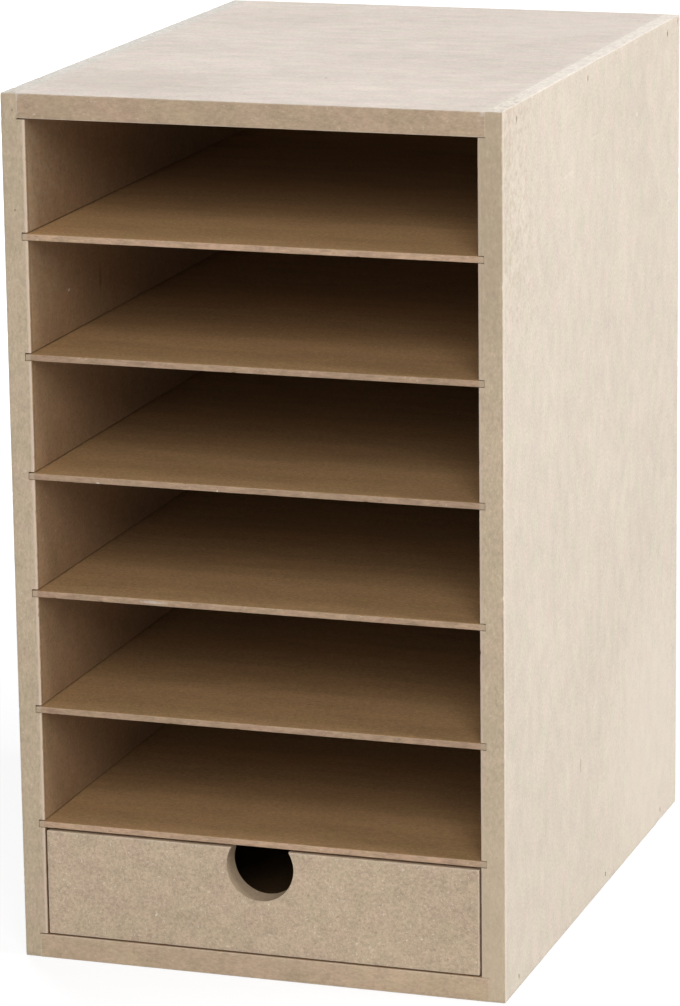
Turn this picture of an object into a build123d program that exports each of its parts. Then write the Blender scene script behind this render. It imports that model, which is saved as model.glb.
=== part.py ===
from build123d import *
import os

# A table-top paper storage unit in bare fibreboard: a case with loose shelves in grooves and a
# drawer in its lowest bay. Millimetres. X runs to the right, Y to the back and Z up, the front
# faces -Y, and the origin is the middle of the underside.

# Case boards
case_width = 245.0
case_depth = 328.0
board_thickness = 12.0      # sides, top and bottom
board_lap = 4.0             # how far the ends of the top and bottom are let into the sides
edge_ease = 0.6             # sanded edges
corner_radius = 0.8         # corners of the sides, seen from the side
heel_radius = 3.5           # their rubbed lower back corners
foot_radius = 2.5           # rubbed outer bottom edges of the sides

# Back panel
back_thickness = 3.0
back_landing = 8.0          # how far the back panel laps over the boards round it

# Shelves and their grooves
shelf_count = 6
shelf_thickness = 3.2
bay_height = 54.8           # clear height between two boards
groove_depth = 3.5
shelf_seat_gap = 0.1        # under a shelf in its groove
shelf_top_gap = 0.5         # over it
shelf_end_gap = 0.5         # between its end and the bottom of the groove
shelf_back_gap = 1.0        # between it and the back panel
shelf_ease = 0.4            # front edges of the shelves

# Drawer
drawer_side_gap = 0.75      # on each side of the drawer
drawer_top_gap = 1.3        # over the drawer front
drawer_foot_gap = 0.7       # under the drawer front
drawer_seat_gap = 0.1       # under the sides and bottom, which slide on the case
drawer_back_gap = 3.0       # behind the drawer
front_thickness = 12.0
front_lap = 6.0             # how far the sides and bottom are let into the back of the front
front_ease = 0.6
drawer_side_thickness = 3.2
drawer_side_drop = 4.0      # the sides and back end this far below the top of the front
drawer_bottom_thickness = 3.2
drawer_back_thickness = 9.0
notch_radius = 17.0         # finger notch in the top edge of the front
notch_drop = 8.9            # its centre below that edge

# Brads: flat wire nails with a T head, set just below the surface
shank_width = 1.25
shank_depth = 1.0
head_width = 2.1
head_depth = 1.2
head_thickness = 0.5
brad_tip = 1.6
brad_set = 0.5
case_brad_length = 30.0
panel_brad_length = 20.0
top_brad_drop = 6.5         # row in the top board's ends, below the top
top_brad_insets = (23.0, 26.0)      # first and last of the row, from the front and the back
top_brad_shift = -17.0      # its middle one from mid-depth
bottom_brad_rise = 6.0      # row in the bottom board's ends, above the underside
bottom_brad_insets = (23.0, 34.0)
bottom_brad_shift = 18.0
edge_brad_inset = 42.5      # outer brads of the back panel's and drawer bottom's rows, from the side
edge_brad_count = 3         # brads in each of those rows
drawer_brad_inset = 12.0    # drawer side brads, from the side's top and bottom edges

# Places that follow from the sizes
front_y = -case_depth / 2
back_y = case_depth / 2
outer_x = case_width / 2
inner_x = outer_x - board_thickness
lap_x = inner_x + board_lap
bay_pitch = bay_height + shelf_thickness
case_height = 2 * board_thickness + (shelf_count + 1) * bay_height + shelf_count * shelf_thickness
panel_y = back_y - back_thickness
panel_x = inner_x + back_landing
panel_rise = board_thickness - back_landing     # bottom of the back panel above the underside

drawer_x = inner_x - drawer_side_gap
drawer_inner_x = drawer_x - drawer_side_thickness
drawer_z = board_thickness + drawer_seat_gap
drawer_back_y = panel_y - drawer_back_gap
drawer_floor_z = drawer_z + drawer_bottom_thickness
front_low_z = board_thickness + drawer_foot_gap
front_top_z = board_thickness + bay_height - drawer_top_gap
front_back_y = front_y + front_thickness
front_lap_y = front_back_y - front_lap
side_top_z = front_top_z - drawer_side_drop


def block(x, y, z):
    # A box from its (low, high) limits along each axis.
    middle = [(low + high) / 2 for low, high in (x, y, z)]
    return Pos(*middle) * Box(x[1] - x[0], y[1] - y[0], z[1] - z[0])


def rounded_profile(u, v, radii):
    # A rectangle whose corners, named by (0 or 1, 0 or 1), have the given radii.
    profile = Pos((u[0] + u[1]) / 2, (v[0] + v[1]) / 2) * Rectangle(u[1] - u[0], v[1] - v[0])
    for (i, j), radius in radii.items():
        corner = profile.vertices().sort_by_distance((u[i], v[j], 0))[0]
        profile = fillet(corner, radius)
    return profile


def brad(length):
    # Head up, with the top of its head at the origin and its wedge point down -Z.
    half = shank_width / 2
    shoulder = brad_tip - length
    outline = Polyline((-half, 0), (half, 0), (half, shoulder), (0, -length), (-half, shoulder), close=True)
    shank = extrude(Plane.XZ * make_face(outline), shank_depth / 2, both=True)
    head = Pos(0, 0, -head_thickness / 2) * Box(head_width, head_depth, head_thickness)
    return shank + head


def row(low, high, count):
    # Evenly spaced places from low to high.
    return [low + (high - low) * i / (count - 1) for i in range(count)]


class Brads:
    # Brads of one row or group, with the holes that they punch in the boards.
    def __init__(self, length):
        self.length = length
        self.pieces = []
        self.holes = []

    def drive(self, place, outward, head_along):
        surface = Plane(origin=place, x_dir=head_along, z_dir=outward)
        piece = surface * Pos(0, 0, -brad_set) * brad(self.length)
        dimple = surface * Pos(0, 0, -brad_set / 2) * Box(head_width, head_depth, brad_set)
        self.pieces.append(piece)
        self.holes.append(piece + dimple)

    def punch(self, board):
        for hole in self.holes:
            board = board - hole
        return board


def shelf_low_z(index):
    # Underside of a shelf's room, counted from 0 at the lowest shelf.
    return board_thickness + bay_height + index * bay_pitch


def case_side_brads(side):
    # side is -1 on the left and 1 on the right.
    group = Brads(case_brad_length)
    rows = (
        (case_height - top_brad_drop, top_brad_insets, top_brad_shift),
        (bottom_brad_rise, bottom_brad_insets, bottom_brad_shift),
    )
    for z, insets, shift in rows:
        for y in (front_y + insets[0], shift, back_y - insets[1]):
            group.drive((side * outer_x, y, z), (side, 0, 0), (0, 0, 1))
    return group


def back_panel_brads():
    group = Brads(panel_brad_length)
    landing_middle = back_landing / 2
    for z in (panel_rise + landing_middle, case_height - panel_rise - landing_middle):
        for x in row(edge_brad_inset - outer_x, outer_x - edge_brad_inset, edge_brad_count):
            group.drive((x, back_y, z), (0, 1, 0), (1, 0, 0))
    for side in (-1, 1):
        for bay in range(0, shelf_count + 1, 2):
            z = board_thickness + bay * bay_pitch + bay_height / 2
            group.drive((side * (inner_x + landing_middle), back_y, z), (0, 1, 0), (0, 0, 1))
    return group


def drawer_side_brads(side):
    group = Brads(panel_brad_length)
    for y in (front_back_y - front_lap / 2, drawer_back_y - drawer_back_thickness / 2):
        for z in (drawer_z + drawer_brad_inset, side_top_z - drawer_brad_inset):
            group.drive((side * drawer_x, y, z), (side, 0, 0), (0, 0, 1))
    return group


def drawer_bottom_brads():
    group = Brads(panel_brad_length)
    for y in (front_back_y - front_lap / 2, drawer_back_y - drawer_back_thickness / 2):
        for x in row(edge_brad_inset - outer_x, outer_x - edge_brad_inset, edge_brad_count):
            group.drive((x, y, drawer_z), (0, 0, -1), (1, 0, 0))
    return group


def right_side_board():
    corners = {(0, 0): corner_radius, (0, 1): corner_radius, (1, 1): corner_radius, (1, 0): heel_radius}
    side_view = rounded_profile((front_y, back_y), (0, case_height), corners)
    end_view = rounded_profile((inner_x, outer_x), (0, case_height), {(1, 0): foot_radius})
    board = Pos(inner_x, 0, 0) * extrude(Plane.YZ * side_view, board_thickness)
    board = fillet(board.faces().sort_by(Axis.X)[-1].edges(), edge_ease)
    board = board & extrude(Plane.XZ * end_view, case_depth, both=True)
    whole_depth = (front_y, back_y)
    board = board - block((inner_x, lap_x), whole_depth, (0, board_thickness))
    board = board - block((inner_x, lap_x), whole_depth, (case_height - board_thickness, case_height))
    board = board - block((inner_x, panel_x), (panel_y, back_y), (panel_rise, case_height - panel_rise))
    for index in range(shelf_count):
        low = shelf_low_z(index) - shelf_seat_gap
        high = shelf_low_z(index) + shelf_thickness + shelf_top_gap
        board = board - block((inner_x, inner_x + groove_depth), whole_depth, (low, high))
    return board


def end_board(low_z, outer_z):
    # The top or bottom board: its long outer edges eased, and a rebate for the back panel.
    board = block((-lap_x, lap_x), (front_y, back_y), (low_z, low_z + board_thickness))
    outer_face = board.faces().sort_by_distance((0, 0, outer_z))[0]
    board = fillet(outer_face.edges().filter_by(Axis.X), edge_ease)
    return board - block((-lap_x, lap_x), (panel_y, back_y), (panel_rise, case_height - panel_rise))


def shelf(index):
    low = shelf_low_z(index)
    end_x = inner_x + groove_depth - shelf_end_gap
    board = block((-end_x, end_x), (front_y, panel_y - shelf_back_gap), (low, low + shelf_thickness))
    return fillet(board.edges().filter_by(Axis.X).group_by(Axis.Y)[0], shelf_ease)


def drawer_front():
    board = block((-drawer_x, drawer_x), (front_y, front_back_y), (front_low_z, front_top_z))
    finger_hole = Cylinder(notch_radius, front_thickness * 2, rotation=(90, 0, 0))
    board = board - Pos(0, front_y, front_top_z - notch_drop) * finger_hole
    face = board.faces().sort_by(Axis.Y)[0]
    board = fillet(face.edges(), front_ease)
    lap = (front_lap_y, front_back_y)
    for x in ((-drawer_x, -drawer_inner_x), (drawer_inner_x, drawer_x)):
        board = board - block(x, lap, (0, side_top_z))
    return board - block((-drawer_inner_x, drawer_inner_x), lap, (0, drawer_floor_z))


def drawer_side():
    return block((drawer_inner_x, drawer_x), (front_lap_y, drawer_back_y), (drawer_z, side_top_z))


def drawer_back():
    y = (drawer_back_y - drawer_back_thickness, drawer_back_y)
    return block((-drawer_inner_x, drawer_inner_x), y, (drawer_floor_z, side_top_z))


def drawer_bottom():
    y = (front_lap_y, drawer_back_y)
    return block((-drawer_inner_x, drawer_inner_x), y, (drawer_z, drawer_floor_z))


def build_case():
    left_brads = case_side_brads(-1)
    right_brads = case_side_brads(1)
    panel_brads = back_panel_brads()
    right = right_side_board()
    left = mirror(right, about=Plane.YZ)
    top = end_board(case_height - board_thickness, case_height)
    bottom = end_board(0, 0)
    for group in (left_brads, right_brads, panel_brads):
        top = group.punch(top)
        bottom = group.punch(bottom)
    back = block((-panel_x, panel_x), (panel_y, back_y), (panel_rise, case_height - panel_rise))
    return {
        "left_side_panel": panel_brads.punch(left_brads.punch(left)),
        "right_side_panel": panel_brads.punch(right_brads.punch(right)),
        "top_panel": top,
        "bottom_panel": bottom,
        "back_panel": panel_brads.punch(back),
        "left_side_brads": Compound(left_brads.pieces),
        "right_side_brads": Compound(right_brads.pieces),
        "back_panel_brads": Compound(panel_brads.pieces),
    }


def build_drawer():
    left_brads = drawer_side_brads(-1)
    right_brads = drawer_side_brads(1)
    bottom_brads = drawer_bottom_brads()
    front = drawer_front()
    back = drawer_back()
    for group in (left_brads, right_brads, bottom_brads):
        front = group.punch(front)
        back = group.punch(back)
    side = drawer_side()
    return {
        "drawer_front": front,
        "drawer_left_side": left_brads.punch(mirror(side, about=Plane.YZ)),
        "drawer_right_side": right_brads.punch(side),
        "drawer_back": back,
        "drawer_bottom": bottom_brads.punch(drawer_bottom()),
        "drawer_left_brads": Compound(left_brads.pieces),
        "drawer_right_brads": Compound(right_brads.pieces),
        "drawer_bottom_brads": Compound(bottom_brads.pieces),
    }


pieces = build_case() | build_drawer()
for number in range(shelf_count):
    pieces[f"shelf_{number + 1}"] = shelf(number)

os.makedirs("parts", exist_ok=True)
for name, piece in pieces.items():
    export_step(piece, f"parts/{name}.step")

print("case", case_width, case_depth, case_height)
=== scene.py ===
import math

import bmesh
import bpy
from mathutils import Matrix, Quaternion, Vector


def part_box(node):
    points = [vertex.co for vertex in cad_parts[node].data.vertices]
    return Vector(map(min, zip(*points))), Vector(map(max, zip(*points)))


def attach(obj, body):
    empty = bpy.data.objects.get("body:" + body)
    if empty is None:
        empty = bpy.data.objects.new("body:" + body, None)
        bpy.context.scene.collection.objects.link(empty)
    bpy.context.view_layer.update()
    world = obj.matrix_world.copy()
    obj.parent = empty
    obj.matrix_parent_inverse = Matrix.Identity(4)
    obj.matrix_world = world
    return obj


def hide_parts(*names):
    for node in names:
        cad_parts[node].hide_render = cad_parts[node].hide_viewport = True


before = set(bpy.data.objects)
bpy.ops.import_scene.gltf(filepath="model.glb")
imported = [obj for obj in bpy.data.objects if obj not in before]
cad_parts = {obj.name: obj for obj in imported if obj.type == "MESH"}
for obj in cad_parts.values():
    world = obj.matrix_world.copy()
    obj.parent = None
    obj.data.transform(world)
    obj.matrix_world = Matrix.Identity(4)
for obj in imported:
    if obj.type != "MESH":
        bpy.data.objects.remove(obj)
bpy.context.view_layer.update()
mm = 0.001
hair = 0.01 * mm        # nearer than this is the same place
nearBy = 0.1 * mm       # and nearer than this belongs together


def addObject(name, data):
    thing = bpy.data.objects.new(name, data)
    bpy.context.scene.collection.objects.link(thing)
    return thing


# small helpers for node trees

def addNode(tree, kind, inputs=None, **settings):
    node = tree.nodes.new(kind)
    for key, value in settings.items():
        setattr(node, key, value)
    for key, value in (inputs or {}).items():
        setInput(tree, node, key, value)
    return node


def setInput(tree, node, key, value):
    # a socket is linked, anything else is typed in
    if isinstance(value, bpy.types.NodeSocket):
        tree.links.new(value, node.inputs[key])
    else:
        node.inputs[key].default_value = value


def calc(tree, operation, *values, clamp=False):
    node = addNode(tree, "ShaderNodeMath", operation=operation, use_clamp=clamp)
    for index, value in enumerate(values):
        setInput(tree, node, index, value)
    return node.outputs[0]


def vecCalc(tree, operation, *values):
    node = addNode(tree, "ShaderNodeVectorMath", operation=operation)
    for index, value in enumerate(values):
        setInput(tree, node, "Scale" if operation == "SCALE" and index == 1 else index, value)
    return node.outputs["Value"] if operation in ("LENGTH", "DOT_PRODUCT", "DISTANCE") else node.outputs[0]


def ramp(tree, value, low, high, toLow=0.0, toHigh=1.0):
    # a soft step from toLow to toHigh while the value goes from low to high
    inputs = {"Value": value, "From Min": low, "From Max": high, "To Min": toLow, "To Max": toHigh}
    return addNode(tree, "ShaderNodeMapRange", inputs, interpolation_type="SMOOTHSTEP").outputs["Result"]


def noiseAt(tree, vector, scale, detail, roughness=0.5):
    settings = {"Vector": vector, "Scale": scale, "Detail": detail, "Roughness": roughness}
    return addNode(tree, "ShaderNodeTexNoise", settings).outputs[0]


def splitVec(tree, vector):
    return addNode(tree, "ShaderNodeSeparateXYZ", {"Vector": vector}).outputs


def joinVec(tree, x, y, z):
    return addNode(tree, "ShaderNodeCombineXYZ", {"X": x, "Y": y, "Z": z}).outputs[0]


def middleOf(tree, vector):
    # the middle one of a vector's three numbers: on a box's surface the least distance to a face is
    # nought, so the middle one is the distance to the nearest edge
    x, y, z = splitVec(tree, vector)[:3]
    smaller = calc(tree, "MINIMUM", x, y)
    larger = calc(tree, "MAXIMUM", x, y)
    return calc(tree, "MAXIMUM", smaller, calc(tree, "MINIMUM", larger, z))


def makeTree(name, kind, inputs, outputs):
    # inputs and outputs give each socket's type by its name
    tree = bpy.data.node_groups.new(name, kind)
    for direction, sockets in (("INPUT", inputs), ("OUTPUT", outputs)):
        for label, socketType in sockets.items():
            tree.interface.new_socket(label, in_out=direction, socket_type="NodeSocket" + socketType)
    return tree, tree.nodes.new("NodeGroupInput").outputs, tree.nodes.new("NodeGroupOutput").inputs


def makeShapeTree(name, inputs):
    return makeTree(name, "GeometryNodeTree", inputs, {"Geometry": "Geometry"})


def makeShaderTree(name, inputs, *outputs):
    return makeTree(name, "ShaderNodeTree", inputs, dict.fromkeys(outputs, "Float"))


def useGroup(tree, group, inputs):
    kind = "GeometryNodeGroup" if tree.bl_idname == "GeometryNodeTree" else "ShaderNodeGroup"
    node = addNode(tree, kind, node_tree=group)
    for key, value in inputs.items():
        setInput(tree, node, key, value)
    return node.outputs


def closeTree(tree, out, results):
    for label, value in results.items():
        tree.links.new(value, out[label])
    return tree


corners = dict.fromkeys(("Low", "High"), "Vector")
boardInputs = {**corners, **dict.fromkeys(("Rows X", "Rows Y", "Rows Z"), "Int"), "Crowding": "Vector",
               **dict.fromkeys(("Round", "Wobble", "Chips", "Seed"), "Float")}

# how the rubbed edges of every board look
edgeLook = {
    "fringe": 1.6 * mm,         # how far from an edge the wear reaches
    "wobbleScale": 160.0,       # ripples per metre along an edge
    "chipScale": 330.0,
    "chipFrom": 0.64,           # the noise level where a chip starts
    "chipFull": 0.78,
}


def makeWornBoard():
    # a box between two corners with rounded, slightly uneven edges; rows of vertices crowd towards
    # its edges as the power in Crowding says
    tree, inp, out = makeShapeTree("wornBoard", boardInputs)
    half = vecCalc(tree, "SCALE", vecCalc(tree, "SUBTRACT", inp["High"], inp["Low"]), 0.5)
    centre = vecCalc(tree, "ADD", inp["Low"], half)
    counts = {f"Vertices {axis}": inp[f"Rows {axis}"] for axis in "XYZ"}
    cube = addNode(tree, "GeometryNodeMeshCube", {"Size": (2, 2, 2), **counts}).outputs["Mesh"]
    unit = addNode(tree, "GeometryNodeInputPosition").outputs[0]
    sign = vecCalc(tree, "SIGN", unit)
    inwards = splitVec(tree, vecCalc(tree, "SUBTRACT", (1, 1, 1), vecCalc(tree, "ABSOLUTE", unit)))
    powers = splitVec(tree, inp["Crowding"])
    share = joinVec(tree, *[
        calc(tree, "POWER", calc(tree, "MAXIMUM", inwards[i], 0.0), powers[i]) for i in range(3)])
    depth = vecCalc(tree, "MULTIPLY", half, share)
    place = vecCalc(tree, "MULTIPLY", sign, vecCalc(tree, "SUBTRACT", half, depth))

    def pastCore(margin):
        # from the core of the box, smaller by the margin all round, out to the vertex
        core = vecCalc(tree, "SUBTRACT", half, joinVec(tree, margin, margin, margin))
        inside = vecCalc(tree, "MINIMUM", vecCalc(tree, "ABSOLUTE", place), core)
        nearest = vecCalc(tree, "MULTIPLY", sign, inside)
        return nearest, vecCalc(tree, "NORMALIZE", vecCalc(tree, "SUBTRACT", place, nearest))

    core, outwards = pastCore(inp["Round"])
    rounded = vecCalc(tree, "ADD", core, vecCalc(tree, "SCALE", outwards, inp["Round"]))
    fringe = ramp(tree, middleOf(tree, depth), 0.0, edgeLook["fringe"], 1.0, 0.0)
    world = vecCalc(tree, "ADD", rounded, centre)
    shifted = vecCalc(tree, "ADD", world, joinVec(tree, inp["Seed"], 0.0, 0.0))
    ripple = noiseAt(tree, shifted, edgeLook["wobbleScale"], 3.0)
    nick = noiseAt(tree, shifted, edgeLook["chipScale"], 1.0)
    chip = ramp(tree, nick, edgeLook["chipFrom"], edgeLook["chipFull"])
    pull = calc(tree, "MULTIPLY_ADD", ripple, inp["Wobble"], calc(tree, "MULTIPLY", chip, inp["Chips"]))
    wornBy = vecCalc(tree, "SCALE", pastCore(edgeLook["fringe"])[1], calc(tree, "MULTIPLY", pull, fringe))
    final = vecCalc(tree, "SUBTRACT", world, wornBy)
    moved = addNode(tree, "GeometryNodeSetPosition", {"Geometry": cube, "Position": final})
    return closeTree(tree, out, {"Geometry": moved.outputs[0]})


def moveMesh(tree, geometry, how):
    return addNode(tree, "GeometryNodeTransform", {"Geometry": geometry, **how}).outputs[0]


def makeBoxBetween():
    tree, inp, out = makeShapeTree("boxBetween", corners)
    size = vecCalc(tree, "SUBTRACT", inp["High"], inp["Low"])
    centre = vecCalc(tree, "ADD", inp["Low"], vecCalc(tree, "SCALE", size, 0.5))
    cube = addNode(tree, "GeometryNodeMeshCube", {"Size": size})
    placed = moveMesh(tree, cube.outputs["Mesh"], {"Translation": centre})
    return closeTree(tree, out, {"Geometry": placed})


# brads: flat wire nails
bradLook = {
    "headWide": 2.1 * mm,
    "headDeep": 1.2 * mm,
    "headThick": 0.5 * mm,
    "shankWide": 1.25 * mm,
    "shankDeep": mm,
    "set": 0.5 * mm,            # how far the head lies below the surface
    "slack": 0.06 * mm,         # the torn hole is this much wider all round
    "headRound": 0.12 * mm,
    "tip": 1.6 * mm,            # the wedge at the far end
    "tipWide": 0.12,            # its width there, as a share of the shank's
}


def makeOnBrads():
    # stands a copy of the given geometry, +Z outwards, on every brad's place
    tree, inp, out = makeShapeTree("onBrads", {"Spots": "Geometry", "Geometry": "Geometry"})

    def named(label):
        return addNode(tree, "GeometryNodeInputNamedAttribute", {"Name": label},
                       data_type="FLOAT_VECTOR").outputs[0]

    upright = addNode(tree, "FunctionNodeAlignRotationToVector", {"Vector": named("outward")}, axis="Z")
    facing = {"Rotation": upright.outputs[0], "Vector": named("headAlong")}
    turned = addNode(tree, "FunctionNodeAlignRotationToVector", facing, axis="X", pivot_axis="Z")
    points = addNode(tree, "GeometryNodeMeshToPoints", {"Mesh": inp["Spots"]})
    copies = addNode(tree, "GeometryNodeInstanceOnPoints", {
        "Points": points.outputs[0], "Instance": inp["Geometry"], "Rotation": turned.outputs[0]})
    real = addNode(tree, "GeometryNodeRealizeInstances", {"Geometry": copies.outputs[0]})
    return closeTree(tree, out, {"Geometry": real.outputs[0]})


def makeBradPockets():
    # cutters for the dimples over the brads' heads
    tree, inp, out = makeShapeTree("bradPockets", {"Spots": "Geometry"})
    wide = bradLook["headWide"] / 2 + bradLook["slack"]
    deep = bradLook["headDeep"] / 2 + bradLook["slack"]
    bottom = bradLook["set"] + bradLook["headThick"]
    cutter = useGroup(tree, boxBetween, {"Low": (-wide, -deep, -bottom), "High": (wide, deep, bottom)})
    placed = useGroup(tree, onBrads, {"Spots": inp["Spots"], "Geometry": cutter["Geometry"]})
    return closeTree(tree, out, {"Geometry": placed["Geometry"]})


def cutWith(tree, board, cutters):
    boolean = addNode(tree, "GeometryNodeMeshBoolean", {"Mesh 1": board},
                      operation="DIFFERENCE", solver="MANIFOLD")
    for cutter in cutters:
        tree.links.new(cutter, boolean.inputs["Mesh 2"])
    return boolean.outputs["Mesh"]


def finishTree(tree, geometry, material, out):
    real = addNode(tree, "GeometryNodeRealizeInstances", {"Geometry": geometry})
    painted = addNode(tree, "GeometryNodeSetMaterial", {"Geometry": real.outputs[0], "Material": material})
    return closeTree(tree, out, {"Geometry": painted.outputs[0]})


def makeBoardTree(name, boxes=(), own=None):
    # a tree for one board: it takes the brads' places, the corners of boxes to cut out and its own inputs
    cuts = {f"{box} {end}": kind for box in boxes for end, kind in corners.items()}
    return makeShapeTree(name, {
        "Spots": "Geometry", **boardInputs, **cuts, **(own or {}), "Material": "Material"})


def wornBoardIn(tree, inp):
    return useGroup(tree, wornBoard, {label: inp[label] for label in boardInputs})["Geometry"]


def boxFrom(tree, inp, box):
    return useGroup(tree, boxBetween, {end: inp[f"{box} {end}"] for end in corners})["Geometry"]


def makeSheetTree():
    # a thin board: a shelf, the back panel or a drawer wall, with dimples where brads go in
    tree, inp, out = makeBoardTree("thinBoard")
    pockets = useGroup(tree, bradPockets, {"Spots": inp["Spots"]})["Geometry"]
    return finishTree(tree, cutWith(tree, wornBoardIn(tree, inp), [pockets]), inp["Material"], out)


def makeEndTree():
    # the top or bottom board: thick, with a rebate for the back panel; it starts too long, and both its
    # ends are sawn off square, so that they meet the side boards closely
    boxes = ["Rebate", "Left Offcut", "Right Offcut"]
    tree, inp, out = makeBoardTree("endBoard", boxes)
    cutters = [boxFrom(tree, inp, box) for box in boxes]
    return finishTree(tree, cutWith(tree, wornBoardIn(tree, inp), cutters), inp["Material"], out)


def makeSideTree():
    # a side board: a groove for each shelf, a lap at each end, a rebate behind, dimples and one dent
    boxes = ["Groove", "Top Lap", "Bottom Lap", "Rebate"]
    tree, inp, out = makeBoardTree("sideBoard", boxes, {
        "Groove Count": "Int", "Groove Pitch": "Float", "Dent At": "Vector", "Dent Size": "Vector"})
    cutters = {box: boxFrom(tree, inp, box) for box in boxes}
    steps = joinVec(tree, 0.0, 0.0, inp["Groove Pitch"])
    line = addNode(tree, "GeometryNodeMeshLine", {"Count": inp["Groove Count"], "Offset": steps})
    grooves = addNode(tree, "GeometryNodeInstanceOnPoints",
                      {"Points": line.outputs[0], "Instance": cutters["Groove"]})
    apart = addNode(tree, "GeometryNodeRealizeInstances", {"Geometry": grooves.outputs[0]})
    cutters["Groove"] = apart.outputs[0]
    ball = addNode(tree, "GeometryNodeMeshUVSphere", {"Segments": 24, "Rings": 16, "Radius": 1.0})
    dent = moveMesh(tree, ball.outputs["Mesh"], {"Translation": inp["Dent At"], "Scale": inp["Dent Size"]})
    pockets = useGroup(tree, bradPockets, {"Spots": inp["Spots"]})["Geometry"]
    board = cutWith(tree, wornBoardIn(tree, inp), [*cutters.values(), pockets, dent])
    return finishTree(tree, board, inp["Material"], out)


notchSides, notchReach = 96, 20 * mm
# two short cones ease the notch's rim, a shallow one outside and a steeper one behind it; each is
# (wider than the notch, flare, depth, place behind the front) as shares of the rim
rimCones = ((0.3, 1.4, 0.6, 0.0), (0.0, 0.6, 1.2, -0.4))


def makeFrontTree():
    # the drawer front: a round notch with an eased rim, and laps behind for the sides and bottom
    laps = ["Left Lap", "Right Lap", "Bottom Lap"]
    tree, inp, out = makeBoardTree("notchedFront", laps, {
        "Notch At": "Vector", "Notch Radius": "Float", "Rim": "Float"})
    cutters = [boxFrom(tree, inp, box) for box in laps]
    facing = (math.pi / 2, 0, 0)

    def drum(radius, flare, depth, shift):
        # a cylinder or cone lying along Y; its wide end faces the front
        narrow = calc(tree, "ADD", inp["Notch Radius"], radius)
        wide = calc(tree, "ADD", narrow, flare)
        cone = addNode(tree, "GeometryNodeMeshCone", {
            "Vertices": notchSides, "Radius Top": wide, "Radius Bottom": narrow, "Depth": depth})
        place = vecCalc(tree, "ADD", inp["Notch At"], joinVec(tree, 0.0, shift, 0.0))
        return moveMesh(tree, cone.outputs["Mesh"], {"Translation": place, "Rotation": facing})

    board = cutWith(tree, wornBoardIn(tree, inp), [*cutters, drum(0.0, 0.0, 2 * notchReach, notchReach)])
    for shares in rimCones:
        rim = [calc(tree, "MULTIPLY", inp["Rim"], share) for share in shares]
        board = cutWith(tree, board, [drum(*rim)])
    return finishTree(tree, board, inp["Material"], out)


def makeBradTree():
    tree, inp, out = makeShapeTree("brads", {
        "Spots": "Geometry", "Length": "Float", "Material": "Material"})
    wide, deep = bradLook["headWide"] / 2, bradLook["headDeep"] / 2
    top, under = -bradLook["set"], -bradLook["set"] - bradLook["headThick"]
    head = useGroup(tree, wornBoard, {
        "Low": (-wide, -deep, under), "High": (wide, deep, top), "Rows X": 9, "Rows Y": 7, "Rows Z": 7,
        "Crowding": (1.6, 1.6, 1.6), "Round": bradLook["headRound"]})["Geometry"]
    # the shank is a bar whose far end is drawn in to a wedge
    shoulder = calc(tree, "SUBTRACT", bradLook["set"] + bradLook["tip"], inp["Length"])
    endZ = calc(tree, "SUBTRACT", -bradLook["set"], inp["Length"])
    low = joinVec(tree, -bradLook["shankWide"] / 2, -bradLook["shankDeep"] / 2, endZ)
    high = (bradLook["shankWide"] / 2, bradLook["shankDeep"] / 2, under)
    bar = useGroup(tree, boxBetween, {"Low": low, "High": high})
    where = addNode(tree, "GeometryNodeInputPosition").outputs[0]
    atEnd = calc(tree, "LESS_THAN", splitVec(tree, where)[2], shoulder)
    wedge = addNode(tree, "GeometryNodeSetPosition", {
        "Geometry": bar["Geometry"], "Selection": atEnd,
        "Position": vecCalc(tree, "MULTIPLY", where, (bradLook["tipWide"], 1.0, 1.0))})
    whole = addNode(tree, "GeometryNodeJoinGeometry")
    tree.links.new(head, whole.inputs[0])
    tree.links.new(wedge.outputs[0], whole.inputs[0])
    placed = useGroup(tree, onBrads, {"Spots": inp["Spots"], "Geometry": whole.outputs[0]})
    return finishTree(tree, placed["Geometry"], inp["Material"], out)


wornBoard = makeWornBoard()
boxBetween = makeBoxBetween()
onBrads = makeOnBrads()
bradPockets = makeBradPockets()
sheetTree, endTree, sideTree = makeSheetTree(), makeEndTree(), makeSideTree()
frontTree, bradTree = makeFrontTree(), makeBradTree()
print("node trees made:", len(bpy.data.node_groups))


# the brads' places are read from the frame

def bradSpots(node):
    # one (place on the surface, outward, along its head, length) for each brad of a CAD node
    copy = bmesh.new()
    copy.from_mesh(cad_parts[node].data)
    bmesh.ops.remove_doubles(copy, verts=copy.verts, dist=0.1 * hair)
    unseen, spots = set(copy.verts), []
    while unseen:
        island, edge = [], [unseen.pop()]
        while edge:
            vertex = edge.pop()
            island.append(vertex.co.copy())
            for link in vertex.link_edges:
                other = link.other_vert(vertex)
                if other in unseen:
                    unseen.remove(other)
                    edge.append(other)
        low = Vector(min(co[i] for co in island) for i in range(3))
        high = Vector(max(co[i] for co in island) for i in range(3))
        spots.append(bradFrom(island, low, high))
    copy.free()
    spots.sort(key=lambda spot: tuple(round(x, 5) for x in spot[0]))
    return spots


def bradFrom(island, low, high):
    # a brad lies along its longest side, and its head is its wide end
    size = high - low
    axis = max(range(3), key=lambda i: size[i])
    across = [i for i in range(3) if i != axis]
    headAxis = max(across, key=lambda i: size[i])
    middle = (low + high) / 2
    headEnd = {end: sum(abs(co[headAxis] - middle[headAxis]) for co in island if abs(co[axis] - end) < hair)
               for end in (low[axis], high[axis])}
    headAt = max(headEnd, key=headEnd.get)
    outward, along, place = Vector(), Vector(), middle.copy()
    outward[axis] = 1.0 if headAt > middle[axis] else -1.0
    along[headAxis] = 1.0
    place[axis] = headAt + outward[axis] * bradLook["set"]
    return place, outward, along, size[axis]


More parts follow.
